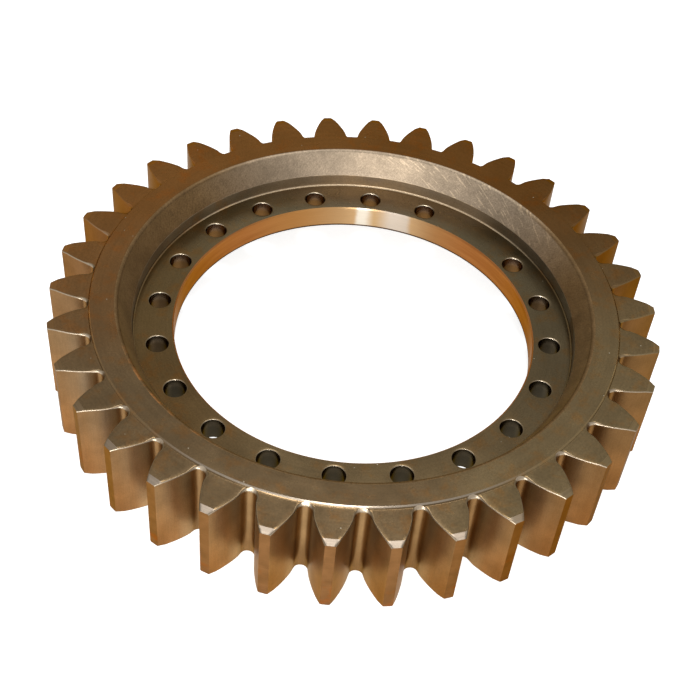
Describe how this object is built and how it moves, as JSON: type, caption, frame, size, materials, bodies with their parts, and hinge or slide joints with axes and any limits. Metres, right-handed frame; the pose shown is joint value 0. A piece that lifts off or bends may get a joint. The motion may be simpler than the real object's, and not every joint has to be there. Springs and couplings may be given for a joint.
{
  "type": "spur ring gear",
  "caption": "Steel spur ring gear with involute teeth, deep recesses, and a bored flange drilled for bolts all round except at a blank position.",
  "frame": {"origin": "on the gear's axis, at the bottom face that it lies on", "axes": "+Z along the axis out of the recess that shows, +Y through a tooth space and the undrilled bolt position"},
  "size_m": [0.432, 0.4308, 0.0668],
  "materials": {
    "machined_steel": "machined steel with a thin brown oil film; turned faces, ground flanks, rough conical recess and a bright bore"
  },
  "bodies": {
    "root": {"ring_gear": "machined_steel"}
  },
  "joints": []
}
